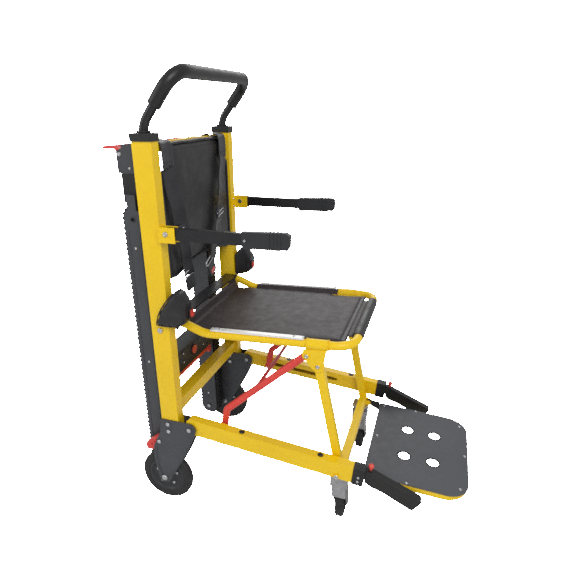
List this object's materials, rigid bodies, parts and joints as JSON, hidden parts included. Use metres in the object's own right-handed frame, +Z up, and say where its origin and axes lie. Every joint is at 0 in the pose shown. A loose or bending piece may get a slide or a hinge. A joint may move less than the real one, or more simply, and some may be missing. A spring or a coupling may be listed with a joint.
{
  "type": "stair chair",
  "caption": "Folding wheeled stair chair with a sling seat and backrest, a push handle, swing-up armrests and footplate, swivel casters and a rear belt track for stairs.",
  "frame": {"origin": "on the floor, under the middle of the whole chair", "axes": "+X towards the front (the footplate), +Y the sitter's left, +Z up"},
  "size_m": [1.0472, 0.527, 1.314],
  "materials": {
    "yellow_paint": "powder coat, satin",
    "red_paint": "powder coat, satin",
    "grey_paint": "fine-textured dark grey coat",
    "black_paint": "satin black coat",
    "zinc": "zinc plated, dull",
    "steel": "plated bolts",
    "aluminium": "satin extrusion",
    "black_plastic": "lightly textured",
    "dark_plastic": "textured",
    "red_plastic": "smooth",
    "foam": "matt foam",
    "rubber_tyre": "matt",
    "belt_rubber": "matt, ribbed",
    "vinyl": "coated fabric with a soft sheen",
    "webbing": "vinyl-faced webbing"
  },
  "bodies": {
    "back_frame": {"post_right": "yellow_paint", "post_left": "yellow_paint", "post_collars": "black_plastic", "top_crossbar": "yellow_paint", "bottom_crossmember": "yellow_paint", "wheel_bracket_right": "grey_paint", "wheel_bracket_left": "grey_paint", "frame_bolts": "steel", "backrest_panel": "vinyl", "harness_webbing": "webbing", "harness_buckles": "dark_plastic", "lap_belt_boots": "vinyl", "arm_brackets": "yellow_paint"},
    "push_handle": {"push_handle_tube": "black_paint", "push_handle_grip": "foam"},
    "track": {"track_beams": "grey_paint", "track_belts": "belt_rubber", "track_masts": "black_paint", "track_cross_housing": "black_plastic", "track_latch_plates": "grey_paint"},
    "lower_rollers": {"track_lower_rollers": "dark_plastic"},
    "upper_rollers": {"track_upper_rollers": "dark_plastic"},
    "track_release_button": {"release_button": "red_plastic"},
    "track_release_bar": {"release_bar": "red_paint"},
    "track_latch_lever": {"latch_lever": "red_paint"},
    "seat": {"seat_tube": "yellow_paint", "seat_panel": "vinyl", "seat_front_sleeve": "vinyl", "seat_clamp_strips": "aluminium", "seat_hinge_bar": "grey_paint", "seat_gussets": "yellow_paint"},
    "rails": {"rail_right": "yellow_paint", "rail_left": "yellow_paint", "rail_end_caps": "black_plastic"},
    "legs": {"leg_frame": "yellow_paint", "caster_plates": "zinc"},
    "brace_arm": {"brace": "red_paint"},
    "brace_pins": {"slot_pins": "steel"},
    "footplate": {"footplate_board": "dark_plastic", "footplate_frame": "yellow_paint"},
    "armrest_right": {"armrest_bar_right": "black_paint", "armrest_grip_right": "dark_plastic"},
    "rear_wheel_right": {"rear_tyre_right": "rubber_tyre", "rear_hub_right": "dark_plastic"},
    "brake_right": {"brake_pedal_right": "red_paint"},
    "belt_release_right": {"belt_button_right": "red_plastic"},
    "front_grip_right": {"front_handle_right": "black_plastic"},
    "knob_right": {"handle_knob_right": "red_plastic"},
    "caster_right": {"caster_fork_right": "zinc"},
    "caster_roll_right": {"caster_wheel_right": "rubber_tyre"},
    "armrest_left": {"armrest_bar_left": "black_paint", "armrest_grip_left": "dark_plastic"},
    "rear_wheel_left": {"rear_tyre_left": "rubber_tyre", "rear_hub_left": "dark_plastic"},
    "brake_left": {"brake_pedal_left": "red_paint"},
    "belt_release_left": {"belt_button_left": "red_plastic"},
    "front_grip_left": {"front_handle_left": "black_plastic"},
    "knob_left": {"handle_knob_left": "red_plastic"},
    "caster_left": {"caster_fork_left": "zinc"},
    "caster_roll_left": {"caster_wheel_left": "rubber_tyre"}
  },
  "joints": [
    {"name": "seat_fold", "type": "hinge", "parent": "back_frame", "child": "seat", "pos_m": [-0.36211, 0, 0.615], "axis": [0, -1, 0], "range_deg": [0, 68]},
    {"name": "rail_fold", "type": "hinge", "parent": "back_frame", "child": "rails", "pos_m": [-0.29561, 0, 0.291], "axis": [0, -1, 0], "range_deg": [0, 68]},
    {"name": "leg_fold", "type": "hinge", "parent": "seat", "child": "legs", "pos_m": [0.09339, 0, 0.554], "axis": [0, -1, 0], "range_deg": [-68, 0]},
    {"name": "brace_swing", "type": "hinge", "parent": "seat", "child": "brace_arm", "pos_m": [0.06139, 0, 0.581], "axis": [0, -1, 0], "range_deg": [-21.05, 0]},
    {"name": "brace_pin_slide", "type": "slide", "parent": "rails", "child": "brace_pins", "axis": [0.9945, 0, -0.1045], "range_m": [0, 0.25576]},
    {"name": "footplate_fold", "type": "hinge", "parent": "legs", "child": "footplate", "pos_m": [0.18639, 0, 0.2135], "axis": [0, -1, 0], "range_deg": [0, 92]},
    {"name": "push_handle_raise", "type": "slide", "parent": "back_frame", "child": "push_handle", "axis": [0, 0, 1], "range_m": [0, 0.2]},
    {"name": "track_swing", "type": "hinge", "parent": "back_frame", "child": "track", "pos_m": [-0.44061, 0, 0.093], "axis": [0, -1, 0], "range_deg": [0, 35]},
    {"name": "lower_roller_spin", "type": "hinge", "parent": "track", "child": "lower_rollers", "pos_m": [-0.44061, 0, 0.093], "axis": [0, 1, 0], "continuous": true},
    {"name": "upper_roller_spin", "type": "hinge", "parent": "track", "child": "upper_rollers", "pos_m": [-0.44061, 0, 0.922], "axis": [0, 1, 0], "continuous": true},
    {"name": "track_button_press", "type": "slide", "parent": "track", "child": "track_release_button", "axis": [-1, 0, 0], "range_m": [0, 0.003], "stiffness_N_per_m": 400},
    {"name": "release_bar_lift", "type": "slide", "parent": "track", "child": "track_release_bar", "axis": [0, 0, 1], "range_m": [0, 0.005], "stiffness_N_per_m": 900, "springref_m": -0.003},
    {"name": "latch_lever_press", "type": "hinge", "parent": "track", "child": "track_latch_lever", "pos_m": [-0.46561, 0, 1.096], "axis": [0, -1, 0], "range_deg": [0, 25], "stiffness_Nm_per_rad": 1.2, "springref_deg": -28.65},
    {"name": "armrest_fold_right", "type": "hinge", "parent": "back_frame", "child": "armrest_right", "pos_m": [-0.30961, -0.2495, 0.902], "axis": [0, -1, 0], "range_deg": [0, 80]},
    {"name": "rear_wheel_spin_right", "type": "hinge", "parent": "back_frame", "child": "rear_wheel_right", "pos_m": [-0.39961, -0.233, 0.088], "axis": [0, 1, 0], "continuous": true},
    {"name": "brake_press_right", "type": "hinge", "parent": "back_frame", "child": "brake_right", "pos_m": [-0.40561, -0.233, 0.226], "axis": [0, -1, 0], "range_deg": [0, 10]},
    {"name": "belt_button_press_right", "type": "slide", "parent": "back_frame", "child": "belt_release_right", "axis": [-1, 0, 0], "range_m": [0, 0.003], "stiffness_N_per_m": 400},
    {"name": "front_handle_pull_right", "type": "slide", "parent": "rails", "child": "front_grip_right", "axis": [0.9945, 0, -0.1045], "range_m": [0, 0.1]},
    {"name": "knob_press_right", "type": "slide", "parent": "front_grip_right", "child": "knob_right", "axis": [-0.1045, 0, -0.9945], "range_m": [0, 0.003], "stiffness_N_per_m": 400},
    {"name": "caster_swivel_right", "type": "hinge", "parent": "legs", "child": "caster_right", "pos_m": [0.15839, -0.176, 0.19], "axis": [0, 0, 1], "continuous": true},
    {"name": "caster_spin_right", "type": "hinge", "parent": "caster_right", "child": "caster_roll_right", "pos_m": [0.15839, -0.14, 0.05], "axis": [1, 0, 0], "continuous": true},
    {"name": "armrest_fold_left", "type": "hinge", "parent": "back_frame", "child": "armrest_left", "pos_m": [-0.30961, 0.2495, 0.902], "axis": [0, -1, 0], "range_deg": [0, 80]},
    {"name": "rear_wheel_spin_left", "type": "hinge", "parent": "back_frame", "child": "rear_wheel_left", "pos_m": [-0.39961, 0.233, 0.088], "axis": [0, 1, 0], "continuous": true},
    {"name": "brake_press_left", "type": "hinge", "parent": "back_frame", "child": "brake_left", "pos_m": [-0.40561, 0.233, 0.226], "axis": [0, -1, 0], "range_deg": [0, 10]},
    {"name": "belt_button_press_left", "type": "slide", "parent": "back_frame", "child": "belt_release_left", "axis": [-1, 0, 0], "range_m": [0, 0.003], "stiffness_N_per_m": 400},
    {"name": "front_handle_pull_left", "type": "slide", "parent": "rails", "child": "front_grip_left", "axis": [0.9945, 0, -0.1045], "range_m": [0, 0.1]},
    {"name": "knob_press_left", "type": "slide", "parent": "front_grip_left", "child": "knob_left", "axis": [-0.1045, 0, -0.9945], "range_m": [0, 0.003], "stiffness_N_per_m": 400},
    {"name": "caster_swivel_left", "type": "hinge", "parent": "legs", "child": "caster_left", "pos_m": [0.15839, 0.176, 0.19], "axis": [0, 0, 1], "continuous": true},
    {"name": "caster_spin_left", "type": "hinge", "parent": "caster_left", "child": "caster_roll_left", "pos_m": [0.15839, 0.212, 0.05], "axis": [1, 0, 0], "continuous": true}
  ],
  "couplings": [
    {"joint": "rail_fold", "follows": "seat_fold", "ratio": 1},
    {"joint": "leg_fold", "follows": "seat_fold", "ratio": -1},
    {"joint": "brace_swing", "follows": "seat_fold", "ratio": -0.30925},
    {"joint": "brace_pin_slide", "follows": "seat_fold", "m_per_rad": 0.21533},
    {"joint": "upper_roller_spin", "follows": "lower_roller_spin", "ratio": 1}
  ]
}
